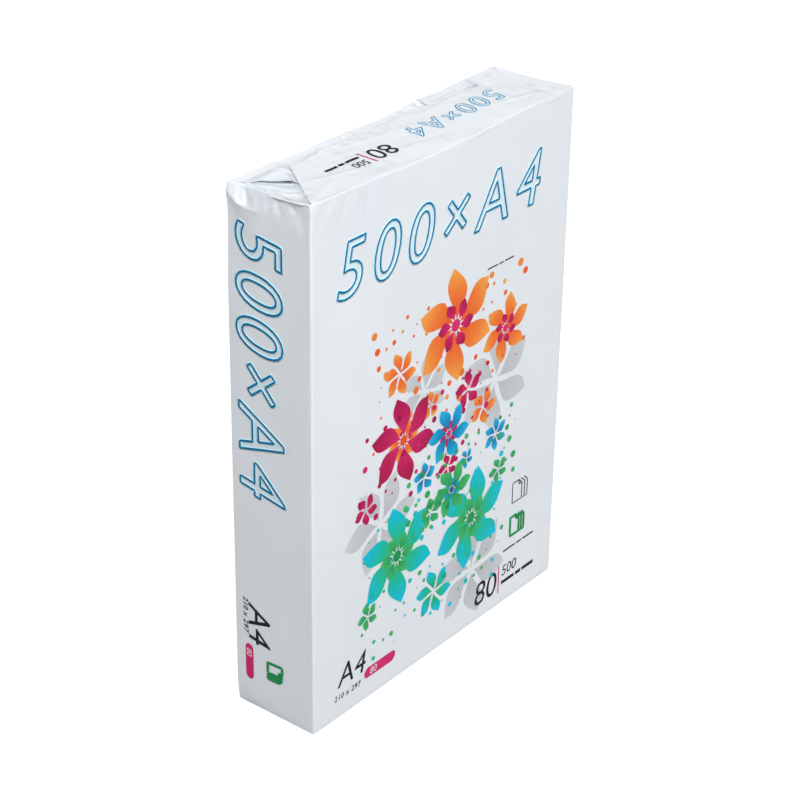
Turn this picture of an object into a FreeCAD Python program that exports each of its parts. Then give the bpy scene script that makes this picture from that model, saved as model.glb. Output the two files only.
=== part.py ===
import FreeCAD, Part
import os
import Sketcher

# A ream of A4 copier paper in its paper wrapper, standing on its short end.
# The wrapper goes round the stack like a tube, laps on the back face, and each end is
# closed like an envelope: the two narrow sides are tucked in first, then the back flap
# is folded over, and the front flap comes last and lies outermost.
# The front face looks along -Y, the pack stands on its lower front flap at z = 0.

# Driving sizes in millimetres: name, value, what it measures.
SIZES = [
    ("sheet_width", 210.0, "short side of one sheet"),
    ("sheet_length", 297.0, "long side of one sheet"),
    ("stack_thickness", 51.0, "five hundred sheets, pressed"),
    ("side_slack", 0.5, "wrapper and air on each long side of the stack"),
    ("end_slack", 0.3, "air between the stack and the first fold at each end"),
    ("corner_round", 2.0, "radius of the wrapper round the four long edges"),
    ("fold_round", 1.6, "radius of the wrapper where it turns over an end"),
    ("fold_ply", 0.4, "thickness that one folded layer adds"),
    ("front_flap_length", 45.0, "outer flap, from its fold line to its free edge"),
    ("front_tip_inset", 36.0, "how far each tip of the outer flap lies from the side"),
    ("back_flap_length", 42.0, "inner flap, from its fold line to its free edge"),
    ("back_tip_inset", 34.0, "how far each tip of the inner flap lies from the side"),
    ("seam_place", 39.0, "edge of the back seam, right of the middle"),
    ("seam_overlap", 24.0, "width of the lapped strip on the back"),
    ("seam_ply", 0.25, "thickness that the lap adds"),
    ("dent_front_reach", 12.0, "crushed edge, from its deepest place towards the front"),
    ("dent_back_reach", 22.0, "crushed edge, from its deepest place towards the back"),
    ("dent_middle", 4.0, "deepest place of the crushed edge, behind the middle"),
    ("dent_drop", 11.0, "how far the crushed edge reaches down the narrow side"),
    ("dent_inset", 2.5, "how far the crushed edge reaches in over the top"),
]

# Sizes that follow from the driving ones, as expressions on the sheet's names.
PACK_WIDTH = "(Sizes.sheet_width + 2 * Sizes.side_slack)"
PACK_THICKNESS = "(Sizes.stack_thickness + 2 * Sizes.side_slack)"
PACK_HEIGHT = "(Sizes.sheet_length + 2 * Sizes.end_slack + 6 * Sizes.fold_ply)"
TUCK_LEVEL = "(%s - 4 * Sizes.fold_ply)" % PACK_HEIGHT
BACK_FLAP_LEVEL = "(%s - 2 * Sizes.fold_ply)" % PACK_HEIGHT
SEAM_LEVEL = "(%s + 2 * Sizes.seam_ply)" % BACK_FLAP_LEVEL
FLAP_FOLD_WIDTH = "(%s - 2 * Sizes.corner_round)" % PACK_WIDTH

TOUCH = 1e-4
OVERSHOOT = 1.5


def make_sizes(doc):
    """The sheet of driving sizes, one row each: name, value, meaning."""
    sheet = doc.addObject("Spreadsheet::Sheet", "Sizes")
    for row, (name, value, meaning) in enumerate(SIZES, start=1):
        sheet.set("A%d" % row, name)
        sheet.set("B%d" % row, str(value))
        sheet.set("C%d" % row, meaning)
        sheet.setAlias("B%d" % row, name)
    doc.recompute()
    return sheet


def origin_plane(body, role):
    """One of a body's own three planes."""
    return next(item for item in body.Origin.OriginFeatures if item.Role == role)


def new_sketch(body, name):
    """An empty sketch on the body's own ground plane, seen from above."""
    sketch = body.newObject("Sketcher::SketchObject", name)
    sketch.AttachmentSupport = (origin_plane(body, "XY_Plane"), [""])
    sketch.MapMode = "FlatFace"
    return sketch


def draw_loop(sketch, corners):
    """Straight edges from corner to corner, joined end to end."""
    points = [FreeCAD.Vector(across, along, 0) for across, along in corners]
    for start, end in zip(points, points[1:] + points[:1]):
        sketch.addGeometry(Part.LineSegment(start, end))
    for edge in range(len(points)):
        following = (edge + 1) % len(points)
        sketch.addConstraint(Sketcher.Constraint("Coincident", edge, 2, following, 1))


def set_size(sketch, kind, ends, expression):
    """A horizontal or vertical distance between two points, tied to the sheet."""
    index = sketch.addConstraint(Sketcher.Constraint(kind, *ends, 1.0))
    sketch.setExpression("Constraints[%d]" % index, expression)


def symmetric_outline(body, name, fold_side, fold_width, tip_width, fold_distance, length):
    """A trapezium centred across the pack, its wide edge on the front or back face.

    fold_side is -1 for the front face and 1 for the back face; length runs inwards.
    """
    sketch = new_sketch(body, name)
    draw_loop(sketch, [(-9, 9 * fold_side), (9, 9 * fold_side), (6, 0), (-6, 0)])
    across_axis = -2
    sketch.addConstraint(Sketcher.Constraint("Symmetric", 0, 1, 0, 2, across_axis))
    sketch.addConstraint(Sketcher.Constraint("Symmetric", 2, 1, 2, 2, across_axis))
    set_size(sketch, "DistanceX", (0, 1, 0, 2), fold_width)
    set_size(sketch, "DistanceX", (2, 2, 2, 1), tip_width)
    origin = (-1, 1)
    fold_corner = (0, 1)
    free_corner = (2, 2)
    if fold_side < 0:
        set_size(sketch, "DistanceY", fold_corner + origin, fold_distance)
        set_size(sketch, "DistanceY", fold_corner + free_corner, length)
    else:
        set_size(sketch, "DistanceY", origin + fold_corner, fold_distance)
        set_size(sketch, "DistanceY", free_corner + fold_corner, length)
    return sketch


def pad_both_ways(body, name, sketch, height):
    """The sketch thickened evenly to both ends of the pack."""
    pad = body.newObject("PartDesign::Pad", name)
    pad.Profile = sketch
    pad.SideType = "Symmetric"
    pad.setExpression("Length", height)
    sketch.Visibility = False
    body.Document.recompute()
    return pad


def edge_names(shape, wanted):
    """Names of the edges whose middle point and direction pass a test."""
    names = []
    for number, edge in enumerate(shape.Edges, start=1):
        middle = edge.valueAt((edge.FirstParameter + edge.LastParameter) / 2)
        if wanted(edge, middle):
            names.append("Edge%d" % number)
    return names


def round_edges(body, name, base, names, radius):
    """A fillet of one radius on the named edges."""
    fillet = body.newObject("PartDesign::Fillet", name)
    fillet.Base = (base, names)
    fillet.setExpression("Radius", radius)
    body.Document.recompute()
    return fillet


def make_stack(doc):
    """The stack with the wrapper's sides and its tucked-in narrow ends."""
    body = doc.addObject("PartDesign::Body", "stack_and_tucks")
    sketch = symmetric_outline(body, "stack_outline", -1, PACK_WIDTH, PACK_WIDTH,
                               "%s / 2" % PACK_THICKNESS, PACK_THICKNESS)
    block = pad_both_ways(body, "stack_block", sketch, TUCK_LEVEL)
    upright = edge_names(block.Shape, lambda edge, middle: abs(middle.z) < TOUCH)
    sides = round_edges(body, "long_edges", block, upright, "Sizes.corner_round")
    end = sides.Shape.BoundBox.ZMax
    rims = edge_names(sides.Shape, lambda edge, middle: abs(abs(middle.z) - end) < TOUCH)
    round_edges(body, "end_rims", sides, rims, "Sizes.fold_round")
    return body


def make_flaps(doc, name, fold_side, tip_inset, length, height):
    """The pair of flaps folded over both ends from the front or the back face."""
    body = doc.addObject("PartDesign::Body", name)
    tip_width = "(%s - 2 * %s)" % (PACK_WIDTH, tip_inset)
    sketch = symmetric_outline(body, name + "_outline", fold_side, FLAP_FOLD_WIDTH, tip_width,
                               "%s / 2" % PACK_THICKNESS, length)
    pad = pad_both_ways(body, name + "_layer", sketch, height)
    round_folds(body, name, pad, fold_side)
    return body


def round_folds(body, name, pad, fold_side):
    """Round the two edges where a layer turns from the face over the ends."""
    box = pad.Shape.BoundBox
    fold = box.YMin if fold_side < 0 else box.YMax
    turned = edge_names(pad.Shape, lambda edge, middle:
                        abs(middle.y - fold) < TOUCH and abs(abs(middle.z) - box.ZMax) < TOUCH)
    round_edges(body, name + "_folds", pad, turned, "Sizes.fold_round")


def make_seam(doc):
    """The lapped strip on the back, which runs on over both ends under the outer flap."""
    body = doc.addObject("PartDesign::Body", "back_seam")
    sketch = new_sketch(body, "back_seam_outline")
    draw_loop(sketch, [(3, 0), (9, 0), (9, 9), (3, 9)])
    for edge in (0, 2):
        sketch.addConstraint(Sketcher.Constraint("Horizontal", edge))
    for edge in (1, 3):
        sketch.addConstraint(Sketcher.Constraint("Vertical", edge))
    origin = (-1, 1)
    set_size(sketch, "DistanceX", origin + (2, 2), "Sizes.seam_place")
    set_size(sketch, "DistanceX", (2, 2, 2, 1), "Sizes.seam_overlap")
    set_size(sketch, "DistanceY", origin + (2, 2), "%s / 2 + Sizes.seam_ply" % PACK_THICKNESS)
    set_size(sketch, "DistanceY", (0, 1, 2, 2), "Sizes.back_flap_length")
    pad = pad_both_ways(body, "back_seam_layer", sketch, SEAM_LEVEL)
    round_folds(body, "back_seam", pad, 1)
    return body


def beyond(start, end):
    """A point past the end of a line, so that a cut runs clear of the pack."""
    return start + (end - start) * OVERSHOOT


def four_sided(corners):
    """A solid with four three-cornered faces."""
    faces = []
    for left_out in range(4):
        rim = [corner for number, corner in enumerate(corners) if number != left_out]
        faces.append(Part.Face(Part.makePolygon(rim + rim[:1])))
    return Part.makeSolid(Part.makeShell(faces))


def make_dent(doc, layers):
    """What is missing at the upper left edge, where a knock has crushed the stack."""
    sheet = doc.Sizes
    box = layers.Shape.BoundBox
    middle = sheet.dent_middle
    back = FreeCAD.Vector(box.XMin, middle + sheet.dent_back_reach, box.ZMax)
    front = FreeCAD.Vector(box.XMin, middle - sheet.dent_front_reach, box.ZMax)
    low = FreeCAD.Vector(box.XMin, middle, box.ZMax - sheet.dent_drop)
    inner = FreeCAD.Vector(box.XMin + sheet.dent_inset, middle, box.ZMax)
    valley = (low + inner) / 2
    dent = doc.addObject("Part::Feature", "crushed_edge")
    dent.Shape = four_sided([beyond(valley, back), beyond(valley, front),
                             beyond(inner, low), beyond(low, inner)])
    return dent


def make_pack(doc):
    """All layers as one closed solid, centred on its base."""
    front = make_flaps(doc, "front_flaps", -1, "Sizes.front_tip_inset",
                       "Sizes.front_flap_length", PACK_HEIGHT)
    back = make_flaps(doc, "back_flaps", 1, "Sizes.back_tip_inset",
                      "Sizes.back_flap_length", BACK_FLAP_LEVEL)
    layers = doc.addObject("Part::MultiFuse", "folded_layers")
    layers.Shapes = [make_stack(doc), back, make_seam(doc), front]
    layers.Refine = True
    doc.recompute()
    pack = doc.addObject("Part::Cut", "wrapped_ream")
    pack.Label = "wrapped_ream"
    pack.Base = layers
    pack.Tool = make_dent(doc, layers)
    pack.setExpression("Placement.Base.y", "-Sizes.seam_ply / 2")
    pack.setExpression("Placement.Base.z", "%s / 2" % PACK_HEIGHT)
    doc.recompute()
    return pack


def check_document(doc):
    """Every object has to be computed, and every shape whole."""
    for item in doc.Objects:
        if "Invalid" in item.State or "Error" in item.State:
            raise RuntimeError("%s was not computed" % item.Name)
        shape = getattr(item, "Shape", None)
        if item.isDerivedFrom("Part::Feature") and (shape.isNull() or not shape.isValid()):
            raise RuntimeError("%s has no valid shape" % item.Name)


def check_pack(pack, width, thickness):
    """One solid, as wide and thick as the stack and its wrapper."""
    box = pack.Shape.BoundBox
    if len(pack.Shape.Solids) != 1:
        raise RuntimeError("the pack is not one solid")
    if abs(box.XLength - width) > TOUCH or abs(box.YLength - thickness) > TOUCH:
        raise RuntimeError("the pack measures %.3f x %.3f" % (box.XLength, box.YLength))


def main():
    doc = FreeCAD.newDocument("ream_of_paper")
    sheet = make_sizes(doc)
    pack = make_pack(doc)
    check_document(doc)
    slack = 2 * sheet.side_slack
    check_pack(pack, sheet.sheet_width + slack, sheet.stack_thickness + slack + sheet.seam_ply)
    os.makedirs("parts", exist_ok=True)
    pack.Shape.exportStep("parts/%s.step" % pack.Label)
    box = pack.Shape.BoundBox
    print("%s: %.1f x %.1f x %.1f mm, %.0f mm3, %d faces" % (
        pack.Label, box.XLength, box.YLength, box.ZLength, pack.Shape.Volume, len(pack.Shape.Faces)))


main()
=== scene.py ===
import math

import bmesh
import bpy
import numpy as np
from mathutils import Matrix, Vector


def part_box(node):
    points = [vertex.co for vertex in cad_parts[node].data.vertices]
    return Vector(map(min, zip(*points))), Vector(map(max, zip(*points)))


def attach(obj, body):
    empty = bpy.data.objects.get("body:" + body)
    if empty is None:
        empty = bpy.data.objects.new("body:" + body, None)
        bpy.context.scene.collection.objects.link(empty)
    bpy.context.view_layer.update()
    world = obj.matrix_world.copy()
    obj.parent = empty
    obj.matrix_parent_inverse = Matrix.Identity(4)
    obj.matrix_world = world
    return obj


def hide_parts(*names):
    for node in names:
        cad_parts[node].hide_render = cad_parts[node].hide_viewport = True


# A sealed ream of A4 paper, standing on its short end. The wrapper is one sheet of coated
# paper, turned round the stack, lapped on the back and folded like an envelope at both ends.
# The print on it is a thin film of ink on the front, the narrow side and the upper flap.
# Lengths are in millimetres up to the moment that a mesh is made.
MM = 0.001

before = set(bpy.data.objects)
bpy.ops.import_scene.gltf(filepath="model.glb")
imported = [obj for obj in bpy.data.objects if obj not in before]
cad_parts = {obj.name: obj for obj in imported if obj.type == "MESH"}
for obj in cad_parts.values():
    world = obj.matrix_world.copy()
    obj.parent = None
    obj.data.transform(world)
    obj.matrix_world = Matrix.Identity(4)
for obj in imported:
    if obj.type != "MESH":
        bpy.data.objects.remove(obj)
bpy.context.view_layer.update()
LEFT, FRONT, BOTTOM = (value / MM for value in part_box("wrapped_ream")[0])
RIGHT, BACK_OF_SEAM, TOP = (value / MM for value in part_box("wrapped_ream")[1])

# The sheet and its folds. The sheet is slack behind the stack and along one narrow side.
SEAM_STEP = 0.25
SLACK = 0.8
SIDE_SLACK = 1.3
BACK = BACK_OF_SEAM - SEAM_STEP + SLACK
PAPER = 0.12
CORNER_ROUND = 1.2
FOLD_ROUND = 0.8
FRONT_FLAP = 45.0
BACK_FLAP = 42.0
TUCK = 45.0
SEAM_PLACE = 39.0
SEAM_OVERLAP = 24.0
LAP_STANDS_OFF = 0.35
FACE_HEIGHT = 297

# How far the tips of the flaps lie in from the left and from the right side.
FRONT_TIP_INSETS = (36.0, 29.0)
BACK_TIP_INSETS = (34.0, 15.0)

# How far below the outer flap the other folded layers lie.
TUCK_LEVEL = -1.5
BACK_GUSSET_LEVEL = -1.28
BACK_FLAP_LEVEL = -0.92
SEAM_LEVEL = -0.7
FRONT_GUSSET_LEVEL = -0.5

# How far from its fold a layer has come down to its level.
SETTLING = 5.0

# Height of the upper edge along the front and along the back, from left to right.
FRONT_EDGE = [(-105, 300.1), (-91, 299.4), (-74, 299.2), (-40, 297.9), (-13, 297.2),
              (14, 297.4), (41, 298.2), (70, 299.3), (105, 299.4)]
BACK_EDGE = [(-105, 298.0), (-92, 297.4), (-69, 297.1), (-33, 296.7), (0, 296.2),
             (24, 296.2), (43, 297.1), (70, 297.3), (92, 297.9), (105, 298.1)]
HOLLOW_AT_ENDS = 0.9
HOLLOW_IN_MIDDLE = 0.3


def smooth(value, start, end):
    """Runs softly from 0 at the start to 1 at the end."""
    part = np.clip((value - start) / (end - start), 0, 1)
    return part * part * (3 - 2 * part)


def between_rows(table, place):
    """The further columns of a table, at places between those in its first column."""
    places, *columns = zip(*table)
    return [np.interp(place, places, column) for column in columns]


def follow(points, across):
    """A soft line through a few measured points."""
    spread = 6.0
    before, here, after = (between_rows(points, across + step)[0] for step in (-spread, 0, spread))
    return (before + 2 * here + after) / 4


def creases(lines, across, along):
    """Sharp little ridges and valleys: start, end, half width and height of each."""
    total = np.zeros(np.broadcast(across, along).shape)
    for start_across, start_along, end_across, end_along, width, height in lines:
        run_across = end_across - start_across
        run_along = end_along - start_along
        length = math.hypot(run_across, run_along)
        from_start = across - start_across, along - start_along
        place = (from_start[0] * run_across + from_start[1] * run_along) / length ** 2
        aside = np.abs(from_start[0] * run_along - from_start[1] * run_across) / length
        ridge = np.clip(1 - aside / width, 0, 1) ** 1.4
        fade = smooth(place, -0.15, 0.25) * smooth(place, 1.15, 0.7)
        total = total + height * ridge * fade
    return total


def crumpled(first, second, sizes, seed):
    """Facets of crumpled paper: sharp folds in many directions, each in patches of its own."""
    chance = np.random.default_rng(seed)
    total = np.zeros(np.broadcast(first, second).shape)
    for size in sizes:
        angle, shift, patch_angle, patch_shift = chance.uniform(0, math.pi, 4)
        bend = 0.22 * np.sin(first / (1.9 * size) + 2 * shift) * np.cos(second / (1.6 * size) + patch_shift)
        run = (first * math.cos(angle) + second * math.sin(angle)) / size + shift + bend
        fold = np.abs(run % 1 - 0.5) * 2 - 0.5
        across_patch = first * math.cos(patch_angle) + second * math.sin(patch_angle)
        patch = 0.5 + 0.5 * np.sin(across_patch / (1.7 * size) + 2 * patch_shift)
        total = total + size * fold * patch
    return total


# Creases in the flaps, in plan: x and y of both ends, half width, height.
TOP_CREASES = [
    # the outer flap, from its left corner to the middle
    (-98, -22, -66, -8, 2.5, 0.3), (-84, -2, -48, -14, 3.0, 0.28), (-70, 10, -30, 2, 3.5, -0.25),
    (-60, 17, -30, 20, 2.5, 0.4), (-36, 14, -2, 10, 3.0, 0.4), (-14, 2, 6, 18, 2.5, 0.3),
    (-70, -20, -30, -10, 3.5, 0.2), (-20, -8, 20, -18, 4.0, 0.2), (-52, 16, -40, 22, 1.8, 0.5),
    # crumpled places along the back edge
    (-30, 26, -27, 15, 1.7, 1.0), (-24, 27, -23, 16, 1.5, -1.1), (-18, 27, -17, 16, 1.8, 1.1),
    (-12, 26, -9, 17, 1.6, -0.8), (-6, 25, 2, 18, 1.8, 0.5), (-48, 26, -42, 18, 2.0, 0.4),
    (18, 27, 21, 20, 1.8, 1.1), (24, 27, 26, 20, 1.6, -0.9), (28, 26, 36, 20, 1.8, 1.0),
    (36.8, 28, 36, 20, 1.7, -1.7), (22, 15, 44, 12, 2.6, 0.35), (41, 10, 44, 2, 2.4, 0.3),
    # the right half, where the folded edge of the outer flap shows
    (46, 15, 66, 13, 2.0, 0.4), (56, -8, 92, -17, 3.0, 0.3), (60, 24, 84, 22, 2.0, -0.4),
    (79, 14.8, 90.5, 3.8, 2.0, 1.1), (90.5, 3.8, 100.5, -5.4, 2.0, 1.1), (100.5, -5.4, 103, -20, 1.6, 0.6),
    (81, 16.8, 93, 5.3, 1.8, -1.0), (93, 5.3, 102, -3.4, 1.8, -1.0), (67, 19.6, 79, 15.8, 2.5, -0.9),
    (103, 20.7, 102, 12, 1.8, -1.1), (102, 12, 100, 3, 1.8, -1.3), (100, 3, 97, -7.6, 1.8, -1.2),
    (102, 24, 87, 18.5, 2.0, 0.8), (66, 22, 46, 20.5, 2.2, -0.6), (85, -19.7, 101, -24, 1.5, 0.35),
    # the tucked-in side and the inner flap over it
    (-101.5, 16.8, -95.7, -0.2, 1.5, -1.0), (-103.4, 10.2, -99, -6, 1.5, 0.8),
    (-100.2, 3, -91, -7.5, 2.0, -0.6), (-99, -4, -90, -12, 1.5, 0.7), (-102, -10, -92, -15, 1.4, -0.6),
    (-97.5, 12, -93, 4, 1.4, 0.7),
    (-88, 24, -74, 14, 2.2, -0.3), (-80, 25, -66, 19, 2.2, 0.5), (-84, 12, -78, 2, 1.6, 0.25),
    (-94, 24, -90, 16, 1.8, -0.5), (-78, 22, -73, 8, 1.6, 0.4),
]

# Creases in the narrow side that is seen: y and z of both ends, half width, height.
LEFT_CREASES = [
    (16.5, 296, 13, 289, 2.0, -1.3), (21, 294, 17, 286, 1.8, 0.6), (10.5, 295, 8.5, 288, 1.6, 0.6),
    (-3, 297.5, -6.6, 289.5, 2.0, -1.2), (0.5, 297, -2.5, 289, 1.5, 0.5), (-7.5, 297, -10.5, 290, 1.6, 0.5),
    (-12, 296.5, -16, 292.5, 1.8, -1.3), (-19, 296, -21, 282, 2.6, -0.4),
    (26, 293.8, 20.3, 290.3, 1.6, 0.7), (20.3, 290.3, 14.5, 288, 1.6, 0.7), (14.5, 288, 7.5, 287.7, 1.6, 0.6),
    (7.5, 287.7, 2, 293, 1.6, 0.5),
    (3, 8, 6, 1, 2.0, -0.6), (20, 12, 14, 2, 2.5, 0.35), (-8, 22, -18, 4, 3.0, 0.25),
    (4, 284, 16, 262, 5.0, 0.35), (-6, 280, 4, 250, 5.0, -0.25),
]

# Creases in the front: x and z of both ends, half width, height.
FRONT_CREASES = [
    (-79, 298, -85, 283, 2.2, -0.4), (-63, 298, -66, 279, 2.6, -0.35), (-71, 297, -75, 286, 2.5, 0.3),
    (-46, 296, -49, 282, 3.0, -0.2), (-88, 296, -97, 284, 3.0, 0.25), (-56, 296, -57, 284, 2.5, 0.2),
    (62, 298, 60, 288, 2.6, -0.2), (80, 296.5, 103, 298, 1.3, 0.4), (-100, 12, -92, 2, 2.5, 0.3),
    (-20, 296, -17, 286, 3.0, -0.15), (30, 297, 26, 286, 3.0, -0.15), (96, 292, 86, 270, 4.0, -0.2),
]


LEAST_CRUMPLED = 0.010
MORE_CRUMPLED = 0.019


def how_crumpled(across, deep):
    """How strongly the flaps are crumpled: most at both ends and along the back edge."""
    at_back = smooth(deep, 9, 22)
    at_left = smooth(across, -70, -94) * 0.5
    at_right = smooth(across, 72, 96) * 0.6
    return LEAST_CRUMPLED + MORE_CRUMPLED * np.maximum(at_back, np.maximum(at_left, at_right))


def top_height(across, deep):
    """Height of the outer flap's surface over a place in plan."""
    share = np.clip((deep - FRONT) / (BACK - FRONT), 0, 1)
    edges = follow(FRONT_EDGE, across) * (1 - share) + follow(BACK_EDGE, across) * share
    end_share = smooth(np.abs(across), 55, 105)
    hollow = HOLLOW_IN_MIDDLE + (HOLLOW_AT_ENDS - HOLLOW_IN_MIDDLE) * end_share
    sag = hollow * 4 * share * (1 - share)
    ripple = 0.16 * np.sin(across / 9.0 + deep / 14.0) * np.sin(deep / 8.0 + 1.0)
    ripple += how_crumpled(across, deep) * crumpled(across, deep, (11, 17, 7, 14, 9, 21, 6), 4)
    inside = smooth(across, LEFT, LEFT + 3) * smooth(across, RIGHT, RIGHT - 3)
    inside = inside * smooth(deep, FRONT, FRONT + 2.5)
    return edges - sag + (ripple + creases(TOP_CREASES, across, deep)) * inside


def side_fade(place, low, high, margin=8.0):
    """Keeps a swelling away from the edges of a face."""
    return smooth(place, low, low + margin) * smooth(place, high, high - margin)


def front_swell(across, up):
    """How far the front stands out of its plane."""
    wave = 0.14 * np.sin(across / 21.0 + 0.6) * np.sin(up / 47.0) + 0.08 * np.sin(up / 19.0 + across / 33.0)
    edge = follow(FRONT_EDGE, across)
    fade = side_fade(across, LEFT, RIGHT) * smooth(up, edge - 0.8, edge - 2.6)
    return (wave * smooth(up, BOTTOM, 15) + creases(FRONT_CREASES, across, up)) * fade


# The knocked upper left edge, from the front to the back: y, how low it reaches, how far in.
KNOCK = [(-16, 299, 0.0), (-6, 294, 0.9), (4, 288.5, 3.4), (13, 287.5, 5.0), (19, 290, 4.4), (25, 294, 1.6)]
KNOCK_SINKS = 0.35
LIP = 0.6
HOLLOW_UNDER_LIP = 1.1


def under_lip(deep):
    """Where the folded upper edge stands out over the narrow side like a lip."""
    return smooth(deep, 3, -1) * smooth(deep, -25, -20)


def loose(deep):
    """How far the wrapper stands off the narrow side: most along the back edge."""
    return SIDE_SLACK * smooth(deep, -14, 26)


def hollow_under_knock(deep, up):
    """How far the narrow side falls in below the knocked edge."""
    low = between_rows(KNOCK, deep)[0]
    return smooth(deep, 6, 22) * smooth(up, low - 0.5, low - 9) * smooth(up, low - 55, low - 16)


def left_swell(deep, up):
    """How far the narrow side stands out of its plane."""
    wave = 0.16 * np.sin(deep / 9.0 + 0.4) * np.sin(up / 38.0) + 0.1 * np.sin(up / 15.0)
    facets = 0.05 * crumpled(deep, up, (8, 13, 6, 10, 17), 9) * smooth(up, 284, 293)
    fade = side_fade(deep, FRONT, BACK, 5.0) * smooth(up, 298.8, 297.4)
    relief = (wave + facets + creases(LEFT_CREASES, deep, up)) * fade
    low, inwards = between_rows(KNOCK, deep)
    pushed_in = inwards * np.clip((up - low) / (TOP - 2.0 - low), 0, 1)
    drawn_in = HOLLOW_UNDER_LIP * under_lip(deep) * smooth(up, 284, 297) + hollow_under_knock(deep, up)
    return relief + loose(deep) * smooth(up, -4, 14) - pushed_in - drawn_in


def plain_swell(place, up):
    """Gentle waves of the right side and the back."""
    return 0.15 * np.sin(place / 13.0) * np.sin(up / 41.0) * side_fade(up, BOTTOM, TOP, 12)


# One line of the sheet runs from its lower to its upper free edge. Over an end it belongs to the
# front or the back flap. Tucked runs from 0 on the flap through the gusset to 1 on the narrow side.
LINE = ("body", "chord", "direction", "flap", "level", "face", "end", "tucked")


def steps_between(start, end, count):
    """Evenly spaced places from the start to just before the end."""
    start, end = np.array(start), np.array(end)
    return [start + (end - start) * step / count for step in range(count)]


def flap_lines(start, end, count, flap):
    """Lines on the front or the back. Over an end they close up towards the flap's tips."""
    lines = []
    half = RIGHT - CORNER_ROUND
    for point in steps_between(start, end, count):
        from_left = np.clip((point[0] + half) / (2 * half), 0, 1)
        lean = flap["lean_left"] * (1 - from_left) - flap["lean_right"] * from_left
        direction = np.array((lean, flap["inwards"]))
        name = flap["name"]
        lines.append((point, point, direction, flap["length"], flap["level"], name, name, 0.0))
    return lines


def tuck_lines(start, end, count, inwards, face):
    """Lines on a narrow side, which is tucked in first."""
    direction = np.array((inwards, 0.0))
    return [(point, point, direction, TUCK, TUCK_LEVEL, face, "tuck", 1.0)
            for point in steps_between(start, end, count)[1:]]


def gusset_lines(centre, start_angle, flap, side, flap_first):
    """Lines round one long edge. Over an end they make the gusset between flap and tuck."""
    tucked = np.array((0.0, 0.02, 0.25, 0.5, 0.75, 0.96, 1.0))
    if not flap_first:
        tucked = tucked[::-1]
    angles = start_angle - np.radians(np.linspace(0, 90, len(tucked)))
    rim = centre + CORNER_ROUND * np.column_stack((np.cos(angles), np.sin(angles)))
    flap_rim, tuck_rim = (rim[0], rim[-1]) if flap_first else (rim[-1], rim[0])
    lean = flap["lean_left"] if side < 0 else -flap["lean_right"]
    flap_direction = np.array((lean, flap["inwards"]))
    tuck_direction = np.array((-side, 0.0))
    between = flap["gusset"] * 0.3 + TUCK_LEVEL * 0.7
    levels = np.interp(tucked, (0.0, 0.02, 0.75, 0.96, 1.0),
                       (flap["level"], flap["gusset"], flap["gusset"], between, TUCK_LEVEL))
    lines = []
    for place, part, level in zip(rim, tucked, levels):
        chord = flap_rim + (tuck_rim - flap_rim) * part
        direction = flap_direction * (1 - part) + tuck_direction * part
        length = flap["length"] * (1 - part) + TUCK * part
        lines.append((place, chord, direction, length, level, "corner", flap["name"], part))
    return lines


def flap_facts(name, length, insets, inwards, level, gusset):
    """What the lines of one pair of flaps share."""
    left, right = ((inset - CORNER_ROUND) / length for inset in insets)
    return dict(name=name, length=length, lean_left=left, lean_right=right, inwards=inwards,
                level=level, gusset=gusset)


def sheet_columns():
    """All lines of the sheet, from its outer edge on the back round to its inner edge."""
    front = flap_facts("front", FRONT_FLAP, FRONT_TIP_INSETS, 1.0, 0.0, FRONT_GUSSET_LEVEL)
    back = flap_facts("back", BACK_FLAP, BACK_TIP_INSETS, -1.0, BACK_FLAP_LEVEL, BACK_GUSSET_LEVEL)
    lap = dict(back, level=SEAM_LEVEL)
    half = RIGHT - CORNER_ROUND
    lap_end = SEAM_PLACE + SEAM_OVERLAP
    lap_foot = lap_end + 4
    low, high = FRONT + CORNER_ROUND, BACK - CORNER_ROUND
    quarter = math.pi / 2
    lines = flap_lines((SEAM_PLACE, BACK + SEAM_STEP), (lap_end, BACK + SEAM_STEP), 12, lap)
    lines += flap_lines((lap_end, BACK + SEAM_STEP), (lap_foot, BACK), 2, lap)
    lines += flap_lines((lap_foot, BACK), (half, BACK), 18, back)
    lines += gusset_lines((half, high), quarter, back, 1, True)
    lines += tuck_lines((RIGHT, high), (RIGHT, low), 18, -1.0, "right")
    lines += gusset_lines((half, low), 0.0, front, 1, False)
    lines += flap_lines((half, FRONT), (-half, FRONT), 124, front)[1:]
    lines += gusset_lines((-half, low), -quarter, front, -1, True)
    lines += tuck_lines((LEFT, low), (LEFT, high), 44, 1.0, "left")
    lines += gusset_lines((-half, high), 2 * quarter, back, -1, False)
    lines += flap_lines((-half, BACK), (SEAM_PLACE, BACK), 108, back)[1:]
    lines += flap_lines((SEAM_PLACE, BACK), (lap_end, BACK), 9, back)
    return lines


def sheet_rows():
    """Places across every line: which part of the sheet, and how far along that part."""
    rows = [("lower_flap", part) for part in np.linspace(1, 0, 10, endpoint=False)]
    rows += [("lower_arc", part) for part in np.linspace(1, 0, 4, endpoint=False)]
    zones = [(0, 15, 3.0), (15, 225, 15.0), (225, 264, 4.0), (264, 284, 1.6), (284, FACE_HEIGHT, 0.65)]
    heights = [height for start, end, step in zones for height in np.arange(start, end, step)]
    rows += [("face", height / FACE_HEIGHT) for height in heights]
    rows += [("upper_arc", part) for part in np.linspace(0, 1, 5, endpoint=False)]
    rows += [("upper_flap", part) for part in np.linspace(0, 1, 47)]
    return rows


def stacked(lines):
    """The values of all lines of the sheet, side by side."""
    return {name: np.array(values) for name, values in zip(LINE, zip(*lines))}


def over_end(sheet, along, is_arc):
    """Depth over the end and height under the flap's own level, for every line."""
    if is_arc:
        turn = along * math.pi / 2
        depth = np.full(len(sheet["flap"]), FOLD_ROUND * (1 - math.cos(turn)))
        return depth, FOLD_ROUND * (1 - math.sin(turn))
    return FOLD_ROUND + along * (sheet["flap"] - FOLD_ROUND), 0.0


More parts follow.
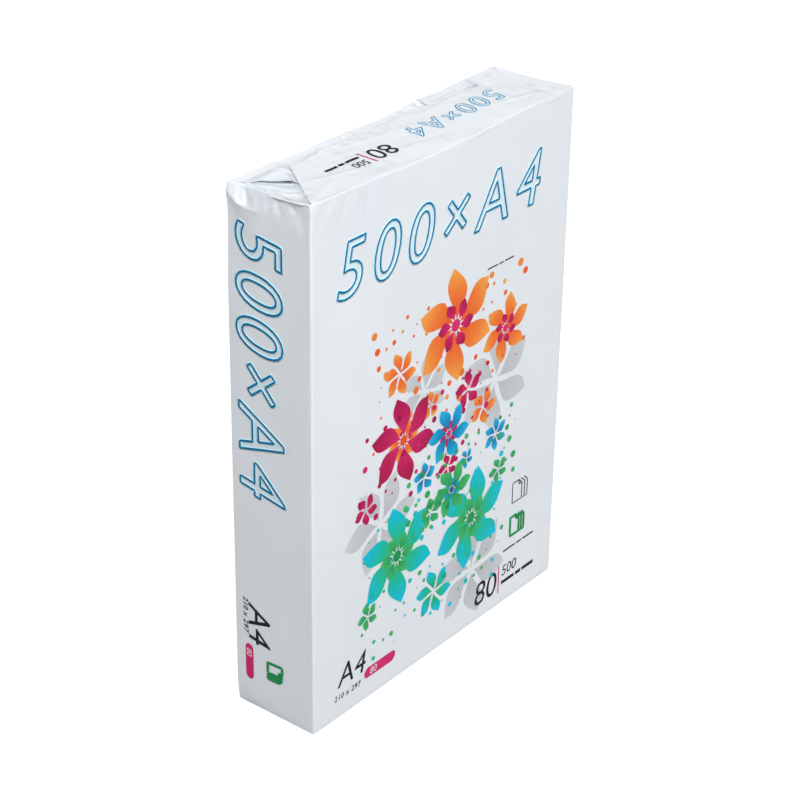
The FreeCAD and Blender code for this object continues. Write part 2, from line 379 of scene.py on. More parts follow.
def sheet_row(sheet, part, along):
    """One row of points across the folded sheet, before creases and waves in its faces."""
    if part == "face":
        place = sheet["body"]
        high = top_height(place[:, 0], place[:, 1]) - FOLD_ROUND
        low = BOTTOM + FOLD_ROUND
        return np.column_stack((place, low + along * (high - low)))
    depth, drop = over_end(sheet, along, part.endswith("arc"))
    bulge = np.clip(1 - depth / 4.0, 0, 1)[:, None]
    place = sheet["chord"] + bulge * (sheet["body"] - sheet["chord"]) + depth[:, None] * sheet["direction"]
    level = sheet["level"] * smooth(depth, 0.0, SETTLING) - drop
    if part.startswith("lower"):
        return np.column_stack((place, BOTTOM - level))
    height = top_height(place[:, 0], place[:, 1]) + level + lifts(sheet, place, depth)
    forwards, upwards = pleat(sheet, place)
    return np.column_stack((place[:, 0], place[:, 1] - forwards, height + upwards))


# A pleat of the back flap that laps over the right tip of the outer flap: distance behind a line
# near that flap's free edge, how far forwards the paper comes, how far up.
PLEAT_LINE = FRONT + FRONT_FLAP - 1.6
PLEAT = [(-1, 0, 0), (0.4, -0.4, 0.1), (1.6, -0.8, 0.8), (2.8, 3.8, 1.4), (4.0, 3.7, 1.6), (6.2, 1.8, 0.9),
         (8.2, 0, 0)]


def pleat(sheet, place):
    """How far the pleat brings the back flap forwards and up."""
    across, deep = place[:, 0], place[:, 1]
    on_back = (sheet["end"] == "back") & (sheet["tucked"] == 0)
    window = on_back * smooth(across, 65, 70) * smooth(across, 81, 77)
    forwards, upwards = between_rows(PLEAT, deep - PLEAT_LINE)
    slanting = 1 + 0.09 * (across - 73)
    return forwards * slanting * window, upwards * window


def lifts(sheet, place, depth):
    """Folded edges that stand up a little: the inner flap and the lap."""
    across, deep = place[:, 0], place[:, 1]
    near_flap = np.clip(1 - sheet["tucked"] * 2.5, 0, 1)
    on_back = (sheet["end"] == "back") * near_flap
    outer_edge = -RIGHT + CORNER_ROUND + (deep - FRONT) * (FRONT_TIP_INSETS[0] - CORNER_ROUND) / FRONT_FLAP
    uncovered = smooth(across, outer_edge + 1, outer_edge - 4)
    wavy = 1.7 + 0.35 * np.sin(deep / 2.6 + 0.5)
    gap = wavy * on_back * uncovered * smooth(deep, 24, 15) * smooth(depth, 1, 7)
    on_lap = on_back * (sheet["level"] > BACK_FLAP_LEVEL) * (sheet["tucked"] == 0)
    lap = 0.7 * on_lap * smooth(depth, 14, 1) * smooth(depth, -1, 2) * smooth(across, 56, 39)
    return gap + lap


def proud_lap(across, deep, up):
    """How far the free edge of the lap stands off the back."""
    on_lap = deep > BACK + SEAM_STEP / 2
    near_edge = smooth(across, SEAM_PLACE + 7, SEAM_PLACE)
    return on_lap * LAP_STANDS_OFF * near_edge * (1 + 0.4 * np.sin(up / 17.0))


def bend_faces(points, faces):
    """Adds waves and creases to the faces of the sheet, and the knock to its upper edge."""
    across, deep, up = (points[..., axis].copy() for axis in range(3))
    margin = 0.05
    edge = top_height(across, deep) - FOLD_ROUND + margin
    on_face = (up > BOTTOM + FOLD_ROUND - margin) & (up < edge)
    front, right, back = ((faces == name) & on_face for name in ("front", "right", "back"))
    left = ((faces == "left") | ((faces == "corner") & (across < LEFT + 4))) & on_face
    points[..., 1] -= np.where(front, front_swell(across, up), 0)
    points[..., 0] -= np.where(left, left_swell(deep, up), 0)
    points[..., 0] += np.where(right, plain_swell(deep, up), 0)
    points[..., 1] += np.where(back, plain_swell(across, up) + proud_lap(across, deep, up), 0)
    over = ~on_face & (up > TOP / 2)
    near_left = smooth(across, LEFT + 16, LEFT)
    inwards = between_rows(KNOCK, deep)[1]
    outwards = LIP * under_lip(deep) + loose(deep)
    points[..., 0] += np.where(over, (inwards - outwards) * near_left, 0)
    points[..., 2] -= np.where(over, KNOCK_SINKS * inwards * near_left, 0)


def new_mesh(name, points, edges=(), faces=()):
    """A mesh from points and what lies between them."""
    mesh = bpy.data.meshes.new(name)
    mesh.from_pydata(points, edges, faces)
    return mesh


def put_in_scene(name, mesh):
    obj = bpy.data.objects.new(name, mesh)
    bpy.context.scene.collection.objects.link(obj)
    return obj


def plain_mesh(obj, name):
    """The object's finished mesh, with its modifiers carried out; the object goes away."""
    bpy.context.view_layer.update()
    graph = bpy.context.evaluated_depsgraph_get()
    mesh = bpy.data.meshes.new_from_object(obj.evaluated_get(graph))
    mesh.name = name
    bpy.data.objects.remove(obj)
    return mesh


def thickened(mesh, thickness, offset):
    """A closed sheet of even thickness, made from an open surface, in the unit of that surface."""
    obj = put_in_scene("open_sheet", mesh)
    wall = obj.modifiers.new("wall", "SOLIDIFY")
    wall.thickness = thickness
    wall.offset = offset
    return plain_mesh(obj, mesh.name)


CRINKLES_PER_CRUMPLE = 24


def how_crushed(points):
    """Where the paper is finely crinkled, for its material: at the folded ends."""
    across, deep, up = (points[..., axis] for axis in range(3))
    over_top = smooth(up, 294, 298) * how_crumpled(across, deep) * CRINKLES_PER_CRUMPLE
    down_side = smooth(up, 272, 296) * smooth(across, LEFT + 6, LEFT + 2) * 0.7
    at_foot = smooth(up, 8, 0) * 0.4
    return np.clip(0.06 + np.maximum(over_top, np.maximum(down_side, at_foot)), 0, 1).astype(np.float32)


def make_wrapper(paper):
    """The whole folded sheet as one closed piece."""
    lines = sheet_columns()
    sheet = stacked(lines)
    rows = sheet_rows()
    points = np.array([sheet_row(sheet, part, along) for part, along in rows])
    faces = np.array([sheet["face"]] * len(rows))
    bend_faces(points, faces)
    wide = len(lines)
    corner = (np.arange(len(rows) - 1)[:, None] * wide + np.arange(wide - 1)).ravel()
    quads = np.column_stack((corner, corner + wide, corner + wide + 1, corner + 1))
    mesh = new_mesh("wrapper", (points.reshape(-1, 3) * MM).tolist(), faces=quads.tolist())
    crushed = mesh.attributes.new("crushed", "FLOAT", "POINT")
    crushed.data.foreach_set("value", how_crushed(points).ravel())
    mesh = thickened(mesh, PAPER * MM, -1)
    mesh.shade_smooth()
    mesh.set_sharp_from_angle(angle=math.radians(60))
    mesh.materials.append(paper)
    return put_in_scene("wrapper", mesh)


# Print: where a flat drawing goes on the pack.


def on_front(across, up, lift):
    return across, FRONT - front_swell(across, up) - lift, up


def on_left(deep, up, lift):
    return LEFT - left_swell(deep, up) - lift, deep, up


def on_top(across, deep, lift):
    return across, deep, top_height(across, deep) + lift


# Each face: its surface, and which way writing runs and stands on it.
FACES = {
    "front": (on_front, (1, 0), (0, 1)),
    "left": (on_left, (0, -1), (-1, 0)),
    "top": (on_top, (-1, 0), (0, -1)),
}


def pressed(mesh, face, origin, lift, turn=0.0):
    """Lays a flat drawing on a face of the pack. Its own height stays as thickness."""
    surface, run, stand = FACES[face]
    flat = np.empty(len(mesh.vertices) * 3)
    mesh.vertices.foreach_get("co", flat)
    along, above, height = flat.reshape(-1, 3).T
    cosine, sine = math.cos(turn), math.sin(turn)
    turned = along * cosine - above * sine, along * sine + above * cosine
    first = origin[0] + turned[0] * run[0] + turned[1] * stand[0]
    second = origin[1] + turned[0] * run[1] + turned[1] * stand[1]
    place = surface(first, second, lift + height)
    mesh.vertices.foreach_set("co", np.column_stack(place).ravel())
    mesh.update()
    return mesh


LONGEST_EDGE = 1.5


def split_long_edges(mesh):
    """Cuts a flat drawing into small triangles, so that it can follow a curved face."""
    work = bmesh.new()
    work.from_mesh(mesh)
    for turn in range(6):
        bmesh.ops.triangulate(work, faces=work.faces)
        long_edges = [edge for edge in work.edges if edge.calc_length() > LONGEST_EDGE]
        if not long_edges:
            break
        bmesh.ops.subdivide_edges(work, edges=long_edges, cuts=1)
    bmesh.ops.triangulate(work, faces=work.faces)
    work.to_mesh(mesh)
    work.free()
    return mesh


INK_FILM = 0.02


def inked(flat):
    """A flat drawing in millimetres, given the thickness of a film of ink."""
    return thickened(flat, INK_FILM, 1)


def gather(name, meshes, material):
    """One piece from several meshes, in metres."""
    work = bmesh.new()
    for mesh in meshes:
        work.from_mesh(mesh)
        bpy.data.meshes.remove(mesh)
    bmesh.ops.scale(work, vec=(MM, MM, MM), verts=work.verts)
    mesh = bpy.data.meshes.new(name)
    work.to_mesh(mesh)
    work.free()
    mesh.materials.append(material)
    for polygon in mesh.polygons:
        polygon.material_index = 0
    return put_in_scene(name, mesh)


# Geometry Nodes trees for the drawing.


def add_node(tree, kind, inputs=(), **settings):
    """A node of a tree, its settings, and what feeds its sockets."""
    node = tree.nodes.new(kind)
    for label, value in settings.items():
        setattr(node, label, value)
    for socket, value in dict(inputs).items():
        if isinstance(value, bpy.types.NodeSocket):
            tree.links.new(value, node.inputs[socket])
        else:
            node.inputs[socket].default_value = value
    return node


def maths(tree, operation, *values):
    """The result of a sum of sockets and plain values."""
    return add_node(tree, "ShaderNodeMath", enumerate(values), operation=operation).outputs[0]


class Tree:
    """A small Geometry Nodes tree with named inputs, one of them the material of its shapes."""

    def __init__(self, name, inputs):
        self.group = bpy.data.node_groups.new(name, "GeometryNodeTree")
        self.group.interface.new_socket("Geometry", in_out="INPUT", socket_type="NodeSocketGeometry")
        for label, kind in inputs + [("Material", "Material")]:
            self.group.interface.new_socket(label, in_out="INPUT", socket_type="NodeSocket" + kind)
        self.group.interface.new_socket("Geometry", in_out="OUTPUT", socket_type="NodeSocketGeometry")
        self.start = self.group.nodes.new("NodeGroupInput")
        self.finish = self.group.nodes.new("NodeGroupOutput")

    def add(self, kind, inputs=(), **settings):
        return add_node(self.group, kind, inputs, **settings)

    def given(self, label):
        return self.start.outputs[label]

    def maths(self, operation, *values):
        return maths(self.group, operation, *values)

    def mark_along(self, geometry, value, domain):
        """Keeps a value from 0 to 1, which the inks take their colour from."""
        kept = self.add("GeometryNodeStoreNamedAttribute",
                        {"Geometry": geometry, "Name": "along", "Value": value},
                        data_type="FLOAT", domain=domain)
        return kept.outputs[0]

    def end(self, geometry):
        """Instances made real, the material set, and the result handed out."""
        real = self.add("GeometryNodeRealizeInstances", {"Geometry": geometry})
        painted = self.add("GeometryNodeSetMaterial",
                           {"Geometry": real.outputs[0], "Material": self.given("Material")})
        self.group.links.new(painted.outputs[0], self.finish.inputs["Geometry"])
        return self.group


def ribbon_tree():
    """A flat ribbon along every edge of a line drawing."""
    tree = Tree("ribbon", [("Width", "Float"), ("Step", "Float")])
    curve = tree.add("GeometryNodeMeshToCurve", {"Mesh": tree.given("Geometry")})
    even = tree.add("GeometryNodeResampleCurve", {"Curve": curve.outputs[0], "Length": tree.given("Step")},
                    mode="LENGTH")
    level = tree.add("GeometryNodeSetCurveNormal", {"Curve": even.outputs[0]}, mode="Z_UP")
    section = tree.add("GeometryNodeCurvePrimitiveQuadrilateral",
                       {"Width": tree.given("Width"), "Height": INK_FILM})
    ribbon = tree.add("GeometryNodeCurveToMesh",
                      {"Curve": level.outputs[0], "Profile Curve": section.outputs[0], "Fill Caps": True})
    return tree.end(ribbon.outputs[0])


def petal_tree():
    """A ring of pointed petals that lean to one side. Attribute along runs from core to tip."""
    tree = Tree("petals", [("Petals", "Int"), ("Core", "Float"), ("Length", "Float"), ("Width", "Float"),
                           ("Lean", "Float")])
    strip = tree.add("GeometryNodeMeshGrid",
                     {"Size X": 1.0, "Size Y": 1.0, "Vertices X": 15, "Vertices Y": 5})
    place = tree.add("GeometryNodeInputPosition")
    parts = tree.add("ShaderNodeSeparateXYZ", {0: place.outputs[0]})
    along = tree.maths("ADD", parts.outputs["X"], 0.5)
    marked = tree.mark_along(strip.outputs["Mesh"], along, "POINT")
    # The widest place of a petal lies past its middle.
    shifted = tree.maths("POWER", along, 1.35)
    round_part = tree.maths("SINE", tree.maths("MULTIPLY", shifted, math.pi))
    breadth = tree.maths("MULTIPLY", tree.maths("MAXIMUM", round_part, 0.03), tree.given("Width"))
    aside = tree.maths("MULTIPLY", breadth, parts.outputs["Y"])
    lean = tree.maths("MULTIPLY", tree.maths("MULTIPLY", along, along), tree.given("Lean"))
    outwards = tree.maths("MULTIPLY_ADD", along, tree.given("Length"), tree.given("Core"))
    shape = tree.add("ShaderNodeCombineXYZ", {"X": outwards, "Y": tree.maths("ADD", aside, lean)})
    petal = tree.add("GeometryNodeSetPosition", {"Geometry": marked, "Position": shape.outputs[0]})
    ring = tree.add("GeometryNodePoints", {"Count": tree.given("Petals")})
    index = tree.add("GeometryNodeInputIndex")
    step = tree.maths("DIVIDE", 2 * math.pi, tree.given("Petals"))
    angle = tree.maths("MULTIPLY", index.outputs[0], step)
    turn = tree.add("ShaderNodeCombineXYZ", {"Z": angle})
    petals = tree.add("GeometryNodeInstanceOnPoints",
                      {"Points": ring.outputs[0], "Instance": petal.outputs[0], "Rotation": turn.outputs[0]})
    return tree.end(petals.outputs[0])


DOTS_APART = 6.0
SMALLEST_DOT = 0.4


def dot_tree():
    """Round dots strewn over a field. Attribute along is one random value for each dot."""
    tree = Tree("dots", [("Across", "Float"), ("Up", "Float"), ("Largest", "Float"), ("Seed", "Int")])
    field = tree.add("GeometryNodeMeshGrid",
                     {"Size X": tree.given("Across"), "Size Y": tree.given("Up"),
                      "Vertices X": 2, "Vertices Y": 2})
    strewn = tree.add("GeometryNodeDistributePointsOnFaces",
                      {"Mesh": field.outputs["Mesh"], "Distance Min": DOTS_APART, "Density Max": 0.02,
                       "Seed": tree.given("Seed")}, distribute_method="POISSON")
    size = tree.add("FunctionNodeRandomValue", {"Min": SMALLEST_DOT, "Max": tree.given("Largest"),
                                                "Seed": tree.given("Seed")}, data_type="FLOAT")
    dot = tree.add("GeometryNodeMeshCircle", {"Vertices": 14, "Radius": 1.0}, fill_type="TRIANGLE_FAN")
    dots = tree.add("GeometryNodeInstanceOnPoints",
                    {"Points": strewn.outputs["Points"], "Instance": dot.outputs["Mesh"],
                     "Scale": size.outputs["Value"]})
    shade = tree.add("FunctionNodeRandomValue", {"Seed": 7}, data_type="FLOAT")
    return tree.end(tree.mark_along(dots.outputs[0], shade.outputs["Value"], "INSTANCE"))


def grown(group, settings, source=None):
    """Runs a tree with these inputs and returns the mesh that it makes."""
    start = source or bpy.data.meshes.new("nothing")
    obj = put_in_scene("growing", start)
    growth = obj.modifiers.new("growth", "NODES")
    growth.node_group = group
    sockets = {item.name: item.identifier for item in group.interface.items_tree
               if item.item_type == "SOCKET" and item.in_out == "INPUT"}
    for label, value in settings.items():
        growth[sockets[label]] = value
    return plain_mesh(obj, group.name)


def writing(body, height, slant=0.2, spacing=1.0, bolder=0.0, filled=True):
    """Upright figures from the built-in typeface, as a flat mesh in millimetres."""
    capital_share = 0.7
    text = bpy.data.curves.new("figures", "FONT")
    text.body = body
    text.size = height / capital_share
    text.shear = slant
    text.space_character = spacing
    text.offset = bolder
    text.resolution_u = 5
    text.fill_mode = "BOTH" if filled else "NONE"
    return plain_mesh(put_in_scene("figures", text), "figures")


def line_drawing(loops):
    """Closed and open lines as a mesh of edges. A loop is its points and whether it closes."""
    points = []
    edges = []
    for corners, closed in loops:
        first = len(points)
        points += [(across, up, 0.0) for across, up in corners]
        edges += [(first + step, first + step + 1) for step in range(len(corners) - 1)]
        if closed:
            edges.append((len(points) - 1, first))
    return new_mesh("line_drawing", points, edges)


def sheet_outlines(height):
    """Outlines of a sheet with a turned-down corner and of two sheets behind it."""
    width = height * 0.68
    ear = height * 0.22
    step = height * 0.2
    page = [(0, 0), (width, 0), (width, height - ear), (width - ear, height), (0, height)]
    turned_down = [(width - ear, height), (width - ear, height - ear), (width, height - ear)]
    loops = [(page, True), (turned_down, False)]
    for shift in (step, 2 * step):
        behind = [(width - ear + shift - step * 0.2, height), (width - ear + shift, height),
                  (width + shift, height - ear), (width + shift, 0), (width + shift - step * 0.75, 0)]
        loops.append((behind, False))
    return line_drawing(loops)


def flat_shape(corners):
    """One flat face with these corners."""
    points = [(across, up, 0.0) for across, up in corners]
    return new_mesh("flat_shape", points, faces=[range(len(corners))])


def bar(width, height, slant=0.0, rounded=False):
    """A plain bar, or one with round ends."""
    corners = [(0, 0), (width, 0), (width, height), (0, height)]
    if rounded:
        radius = height / 2
        corners = []
        for centre, start in ((width - radius, -90), (radius, 90)):
            for step in range(9):
                angle = math.radians(start + 180 * step / 8)
                corners.append((centre + radius * math.cos(angle), radius + radius * math.sin(angle)))
    return flat_shape([(across + up * slant, up) for across, up in corners])


def disc(radius):
    """A round spot."""
    angles = [step * math.pi / 9 for step in range(18)]
    return flat_shape([(radius * math.cos(angle), radius * math.sin(angle)) for angle in angles])


# Materials.


def noise(tree, scale, detail, stretch=(1, 1, 1), distortion=0.0, **settings):
    """A noise pattern on the piece's own coordinates."""
    place = add_node(tree, "ShaderNodeTexCoord")
    mapping = add_node(tree, "ShaderNodeMapping", {"Vector": place.outputs["Object"], "Scale": stretch})
    pattern = add_node(tree, "ShaderNodeTexNoise", {"Vector": mapping.outputs["Vector"], "Scale": scale,
                                                    "Detail": detail, "Distortion": distortion}, **settings)
    return pattern.outputs["Fac"]


def new_material(name, roughness, coat, gloss):
    """A material, its tree and its main shader. The gloss is that of the surface under the coat."""
    material = bpy.data.materials.new(name)
    material.use_nodes = True
    shader = material.node_tree.nodes["Principled BSDF"]
    shader.inputs["Roughness"].default_value = roughness
    shader.inputs["Coat Weight"].default_value = coat
    shader.inputs["Coat Roughness"].default_value = 0.2
    shader.inputs["Specular IOR Level"].default_value = gloss
    return material, material.node_tree, shader


def ramp(tree, factor, stops):
    """Colours that follow a value from 0 to 1."""
    node = add_node(tree, "ShaderNodeValToRGB", {"Fac": factor})
    elements = node.color_ramp.elements
    while len(elements) < len(stops):
        elements.new(0.5)
    for element, (place, colour) in zip(elements, stops):
        element.position = place
        element.color = (*colour, 1.0)
    return node.outputs["Color"]


def coated_paper():
    """Glossy white paper with a bluish tint. Attribute crushed says where it is crinkled."""
    material, tree, shader = new_material("coated_white_paper", 0.36, 0.22, 0.5)
    tint = ramp(tree, noise(tree, 18.0, 3.0), [(0.3, (0.742, 0.785, 0.83)), (0.7, (0.785, 0.825, 0.866))])
    tree.links.new(tint, shader.inputs["Base Color"])
    crushed = add_node(tree, "ShaderNodeAttribute", attribute_name="crushed")
    waves = noise(tree, 55.0, 5.0, (1.0, 1.0, 0.6))
    crinkles = noise(tree, 85.0, 2.5, distortion=0.4, noise_type="RIDGED_MULTIFRACTAL")
    grain = noise(tree, 1400.0, 3.0)
    normal = bumped(tree, waves, 0.3, 0.0009)
    normal = bumped(tree, crinkles, crushed.outputs["Fac"], 0.0018, normal)
    normal = bumped(tree, grain, 0.12, 0.00005, normal)
    tree.links.new(normal, shader.inputs["Normal"])
    return material


def bumped(tree, height, strength, distance, below=None):
    """A relief on top of the one below it."""
    feeds = {"Height": height, "Strength": strength, "Distance": distance}
    if below:
        feeds["Normal"] = below
    return add_node(tree, "ShaderNodeBump", feeds).outputs["Normal"]


def ink(name, stops):
    """Printing ink whose colour runs along a shape, with the fine mottle of a press."""
    material, tree, shader = new_material(name, 0.45, 0.0, 0.08)
    along = add_node(tree, "ShaderNodeAttribute", attribute_name="along")
    mottle = maths(tree, "MULTIPLY_ADD", noise(tree, 260.0, 2.0), 0.16, -0.08)
    colour = ramp(tree, maths(tree, "ADD", along.outputs["Fac"], mottle), stops)
    tree.links.new(colour, shader.inputs["Base Color"])
    return material


# The inks: the name of each material, and its colours from the core of a shape to its tip.
INKS = {
    "blue": ("dark_blue_ink", [(0.0, (0.001, 0.13, 0.30)), (1.0, (0.002, 0.19, 0.38))]),
    "cyan": ("cyan_ink", [(0.0, (0.002, 0.40, 0.68)), (1.0, (0.004, 0.47, 0.75))]),
    "pale": ("pale_cyan_ink", [(0.0, (0.73, 0.87, 0.93)), (1.0, (0.77, 0.89, 0.95))]),
    "black": ("black_ink", [(0.0, (0.001, 0.001, 0.002)), (1.0, (0.004, 0.004, 0.006))]),
    "magenta": ("magenta_ink", [(0.0, (0.66, 0.025, 0.15)), (0.6, (0.50, 0.006, 0.09)),
                                (1.0, (0.36, 0.003, 0.06))]),
    "orange": ("orange_ink", [(0.0, (0.86, 0.085, 0.02)), (0.55, (0.89, 0.20, 0.035)),
                              (1.0, (0.93, 0.40, 0.08))]),
    "sky": ("sky_blue_ink", [(0.0, (0.005, 0.09, 0.30)), (0.5, (0.005, 0.30, 0.60)),
                             (1.0, (0.01, 0.50, 0.80))]),
    "teal": ("teal_ink", [(0.0, (0.06, 0.45, 0.08)), (0.4, (0.01, 0.50, 0.32)), (1.0, (0.0, 0.56, 0.82))]),
    "green": ("green_ink", [(0.0, (0.003, 0.28, 0.07)), (1.0, (0.06, 0.50, 0.16))]),
    "shade": ("pale_grey_ink", [(0.0, (0.52, 0.54, 0.57)), (1.0, (0.64, 0.66, 0.69))]),
    "white": ("white_ink", [(0.0, (0.84, 0.84, 0.86)), (1.0, (0.87, 0.87, 0.89))]),
}

# How high the film of each ink lies, so that a later ink covers an earlier one, and how far all
# of them are kept off the paper of each face.
LIFTS = {"pale": 0.03, "rim": 0.055, "cyan": 0.08, "blue": 0.105, "shade": 0.03, "orange": 0.06,
         "magenta": 0.09, "sky": 0.12, "teal": 0.15, "green": 0.18, "black": 0.06, "white": 0.15}
CLEARANCES = {"front": 0.02, "left": 0.1, "top": 0.12}
RIBBON_STEP = 1.0


class Press:
    """The inks and the trees, and the drawings gathered for every ink and face."""

    def __init__(self):
        self.inks = {colour: ink(name, stops) for colour, (name, stops) in INKS.items()}
        self.inks["rim"] = self.inks["pale"]
        self.ribbon = ribbon_tree()
        self.petals = petal_tree()
        self.dots = dot_tree()
        self.drawn = {}

    def lay(self, mesh, colour, face, origin, turn=0.0):
        lift = LIFTS[colour] + CLEARANCES[face]
        self.drawn.setdefault((face, colour), []).append(pressed(mesh, face, origin, lift, turn))

    def fill(self, flat, colour, face, origin):
        self.lay(inked(split_long_edges(flat)), colour, face, origin)

    def outline(self, drawing, colour, width, face, origin):
        settings = {"Width": width, "Step": RIBBON_STEP, "Material": self.inks[colour]}
        ribbon = grown(self.ribbon, settings, drawing.copy())
        for vertex in ribbon.vertices:
            vertex.co.z += INK_FILM / 2
        self.lay(ribbon, colour, face, origin)

    def title(self, height, spacing, width, face, origin):
        """The big figures: a dark blue line in a cyan band with a pale rim, and a pale filling."""
        self.fill(writing(TITLE, height, spacing=spacing), "pale", face, origin)
        drawing = writing(TITLE, height, spacing=spacing, filled=False)
        for colour, share in (("rim", 2.2), ("cyan", 1.25), ("blue", 0.6)):
            self.outline(drawing, colour, width * share, face, origin)

    def small_line(self, width, height, face, origin):
        """A broken line of thin bars in the place of small print."""
        run = FACES[face][1]
        start = 0.0
        for part in (0.42, 0.2, 0.38):
            place = (origin[0] + start * run[0], origin[1] + start * run[1])
            self.fill(bar(width * part - 1.2, height, 0.2), "black", face, place)
            start += width * part

    def petal_ring(self, colour, origin, radius, petals, turn, lean=0.25, core=0.1):
        settings = {"Petals": petals, "Core": radius * core, "Length": radius * (1 - core),
                    "Width": radius * 3.1 / petals, "Lean": radius * lean, "Material": self.inks[colour]}
        self.lay(inked(grown(self.petals, settings)), colour, "front", origin, turn)

    def flower(self, colour, origin, radius, petals, turn, second=None):
        """Broad petals, smaller ones of a second ink over them, and a round middle."""
        self.petal_ring(colour, origin, radius, petals, turn)
        if second:
            self.petal_ring(second, origin, radius * 0.46, petals, turn + math.pi / petals, 0.15, 0.24)
            self.fill(disc(radius * 0.11), second, "front", origin)

    def spray(self, colour, origin, across, up, largest, seed):
        settings = {"Across": across, "Up": up, "Largest": largest, "Seed": seed,
                    "Material": self.inks[colour]}
        self.lay(inked(grown(self.dots, settings)), colour, "front", origin)

    def pieces(self):
        return [gather("%s_print_%s" % (face, colour), meshes, self.inks[colour])
                for (face, colour), meshes in self.drawn.items()]


TITLE = "500\u00d7A4"

# The flowers on the front: ink, middle, radius, petals, turn, and any ink of inner petals.
FLOWERS = [
    ("shade", (44, 150), 31, 6, 0.3), ("shade", (-52, 104), 28, 6, 0.9),
    ("shade", (28, 38), 31, 6, 0.5), ("shade", (-18, 168), 20, 6, 0.2),
    ("orange", (8, 196), 32, 6, 0.35, "magenta"), ("orange", (-38, 186), 13, 6, 0.6),
    ("orange", (52, 178), 20, 6, 0.1, "magenta"), ("orange", (34, 138), 11, 5, 0.9),
    ("orange", (-12, 158), 8, 5, 0.2),
    ("magenta", (-34, 146), 26, 6, 0.5, "orange"), ("magenta", (20, 154), 11, 5, 0.2),
    ("magenta", (-64, 118), 9, 5, 0.8), ("magenta", (4, 114), 8, 5, 0.4),
    ("sky", (4, 134), 17, 6, 0.7, "magenta"), ("sky", (46, 116), 10, 6, 0.3),
    ("sky", (-16, 116), 9, 5, 0.1), ("sky", (20, 112), 6, 5, 0.6),
    ("teal", (-38, 78), 30, 6, 0.4, "green"), ("teal", (26, 72), 30, 6, 0.1, "green"),
    ("teal", (-6, 40), 15, 6, 0.6),
    ("green", (8, 98), 16, 6, 0.9, "sky"), ("green", (-10, 92), 9, 5, 0.2),
    ("green", (50, 92), 8, 5, 0.5), ("green", (-62, 52), 8, 5, 0.5),
]

# Strewn dots on the front: ink, middle, width and height of the field, largest radius, seed.
SPRAYS = [
    ("orange", (4, 182), 130, 70, 2.4, 3), ("magenta", (-14, 138), 110, 56, 2.2, 5),
    ("green", (16, 106), 100, 48, 2.2, 8), ("teal", (-6, 64), 124, 82, 2.0, 11),
]


def print_front(press):
    """The big figures, a field of flowers and the size marks."""
    press.title(30, 1.24, 1.0, "front", (-89, 243.5))
    for flower in FLOWERS:
        press.flower(*flower)
    for spray in SPRAYS:
        press.spray(*spray)
    press.small_line(24, 0.8, "front", (34, 218))
    press.fill(writing("A4", 13.6), "black", "front", (-86.5, 19))
    press.fill(writing("210 x 297", 3.2, spacing=1.15, bolder=0.07), "black", "front", (-89, 11.5))
    press.fill(bar(26, 6.4, 0.2, rounded=True), "magenta", "front", (-65, 13))
    press.fill(writing("80", 4.0), "white", "front", (-60, 14.3))
    press.fill(writing("80", 15, 0.12), "black", "front", (31, 10))
    press.fill(bar(0.9, 18), "magenta", "front", (54, 8.5))
    press.fill(writing("500", 6.6, 0.12), "black", "front", (57, 18.5))
    press.small_line(32, 2.2, "front", (57, 13))
    press.small_line(30, 1.1, "front", (58, 34))
    press.outline(sheet_outlines(12), "green", 1.7, "front", (64, 42))
    press.outline(sheet_outlines(13), "black", 0.7, "front", (65, 63))


def print_left(press):
    """The same figures down the narrow side."""
    press.title(29, 1.15, 1.0, "left", (20.5, 282.6))
    press.fill(writing("A4", 14.5), "black", "left", (17, 66))
    press.fill(writing("210 x 297", 3.2, spacing=1.15, bolder=0.07), "black", "left", (20.5, 68))
    press.fill(bar(22, 5.2, 0.1, rounded=True), "magenta", "left", (19.5, 40))
    press.fill(writing("80", 3.4), "white", "left", (18.6, 37))
    press.outline(sheet_outlines(9.5), "green", 1.7, "left", (4.6, 33))


def print_top(press):
    """Smaller figures on the outer flap."""
    press.title(13.5, 1.2, 0.5, "top", (75, 6.5))
    press.fill(writing("80", 12.5, 0.12), "black", "top", (-17, 2))
    press.fill(bar(0.9, 14), "magenta", "top", (-38, 3))
    press.fill(writing("500", 5.4, 0.12), "black", "top", (-41, -5))
    press.small_line(26, 2.0, "top", (-41, 0))


# Stage: floor, light and camera.


def seen_directly(tree, way):
    """1 for what the camera sees, straight or by one other way, and 0 for the light."""
    path = add_node(tree, "ShaderNodeLightPath")
    return maths(tree, "MAXIMUM", path.outputs["Is Camera Ray"], path.outputs[way])


def between(tree, factor, low, high):
    """A value that runs from low to high with a factor."""
    node = add_node(tree, "ShaderNodeMapRange", {"Value": factor, "To Min": low, "To Max": high})
    return node.outputs["Result"]


FLOOR_TONE = 0.9
FLOOR_BOUNCE = 0.18
FLOOR_GLOW = 0.5


def make_floor():
    """A plain pale floor that keeps the shadow. It is paler for the camera than for the light."""
    half = 6.0
    corners = [(-half, -half, 0), (half, -half, 0), (half, half, 0), (-half, half, 0)]
    mesh = new_mesh("floor", corners, faces=[(0, 1, 2, 3)])
    material, tree, shader = new_material("pale_floor", 0.9, 0.0, 0.0)
    seen = seen_directly(tree, "Is Glossy Ray")
    level = between(tree, seen, FLOOR_BOUNCE, FLOOR_TONE)
    tone = add_node(tree, "ShaderNodeCombineColor", {"Red": level, "Green": level, "Blue": level})
    tree.links.new(tone.outputs["Color"], shader.inputs["Base Color"])
    shader.inputs["Emission Color"].default_value = (1, 1, 1, 1)
    tree.links.new(between(tree, seen, 0.0, FLOOR_GLOW), shader.inputs["Emission Strength"])
    mesh.materials.append(material)
    put_in_scene("floor", mesh)


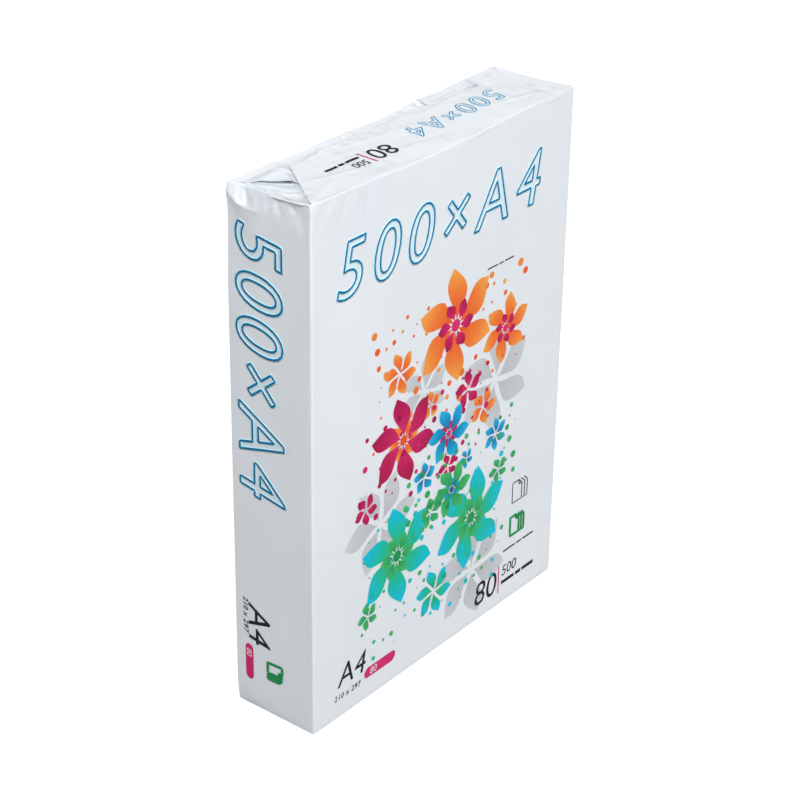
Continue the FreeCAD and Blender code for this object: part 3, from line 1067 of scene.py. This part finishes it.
# The surround at the horizon and overhead. The lamps: name, place, size, power.
SURROUND_LOW = 0.43
SURROUND_HIGH = 0.05
LIT_POINT = Vector((0, 0, 0.15))
LAMPS = [("key", (0.05, -1.9, 1.3), 1.0, 26.3), ("side", (-1.4, -0.75, 1.9), 1.1, 40.5),
         ("behind", (1.5, 1.2, 1.25), 0.9, 2.6), ("back", (0.4, 2.3, 0.85), 1.6, 22.0)]


def make_light():
    """Soft lamps before, beside and behind the pack, in a surround that is darker overhead."""
    world = bpy.data.worlds.new("studio")
    bpy.context.scene.world = world
    world.use_nodes = True
    tree = world.node_tree
    background = tree.nodes["Background"]
    background.inputs["Color"].default_value = (0.96, 0.985, 1.0, 1.0)
    place = add_node(tree, "ShaderNodeTexCoord")
    parts = add_node(tree, "ShaderNodeSeparateXYZ", {0: place.outputs["Generated"]})
    surround = between(tree, parts.outputs["Z"], SURROUND_LOW, SURROUND_HIGH)
    seen = seen_directly(tree, "Is Transmission Ray")
    strength = add_node(tree, "ShaderNodeMix", {"Factor": seen, "A": surround, "B": 1.0})
    tree.links.new(strength.outputs["Result"], background.inputs["Strength"])
    for name, place, size, power in LAMPS:
        lamp = bpy.data.lights.new(name, "AREA")
        lamp.energy = power
        lamp.size = size
        obj = put_in_scene(name, lamp)
        obj.location = place
        obj.rotation_euler = (LIT_POINT - Vector(place)).to_track_quat("-Z", "Y").to_euler()


def make_camera():
    """The photograph's viewing angle, worked out from the pack's corners and its outline."""
    azimuth, elevation, roll = (math.radians(value) for value in (-51.525, 28.239, 0.88))
    distance, aside, raised = 1184.5064, -2.882915, -2.44194
    middle = Vector((0, 0, 149.2705))
    back = Vector((math.sin(azimuth) * math.cos(elevation), -math.cos(azimuth) * math.cos(elevation),
                   math.sin(elevation)))
    level = Vector((0, 0, 1)).cross(back).normalized()
    upright = back.cross(level)
    eye = middle + back * distance + level * aside + upright * raised
    camera = bpy.data.cameras.new("camera")
    camera.lens = 100.72
    camera.sensor_width = 36.0
    obj = put_in_scene("camera", camera)
    turn = Matrix((level, upright, back)).transposed().to_4x4() @ Matrix.Rotation(roll, 4, "Z")
    obj.matrix_world = Matrix.Translation(eye * MM) @ turn
    bpy.context.scene.camera = obj


def main():
    make_camera()
    make_light()
    make_floor()
    press = Press()
    print_front(press)
    print_left(press)
    print_top(press)
    pieces = [make_wrapper(coated_paper())] + press.pieces()
    for piece in pieces:
        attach(piece, "root")
        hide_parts("wrapped_ream")
    bpy.context.scene.view_settings.view_transform = "Standard"


main()
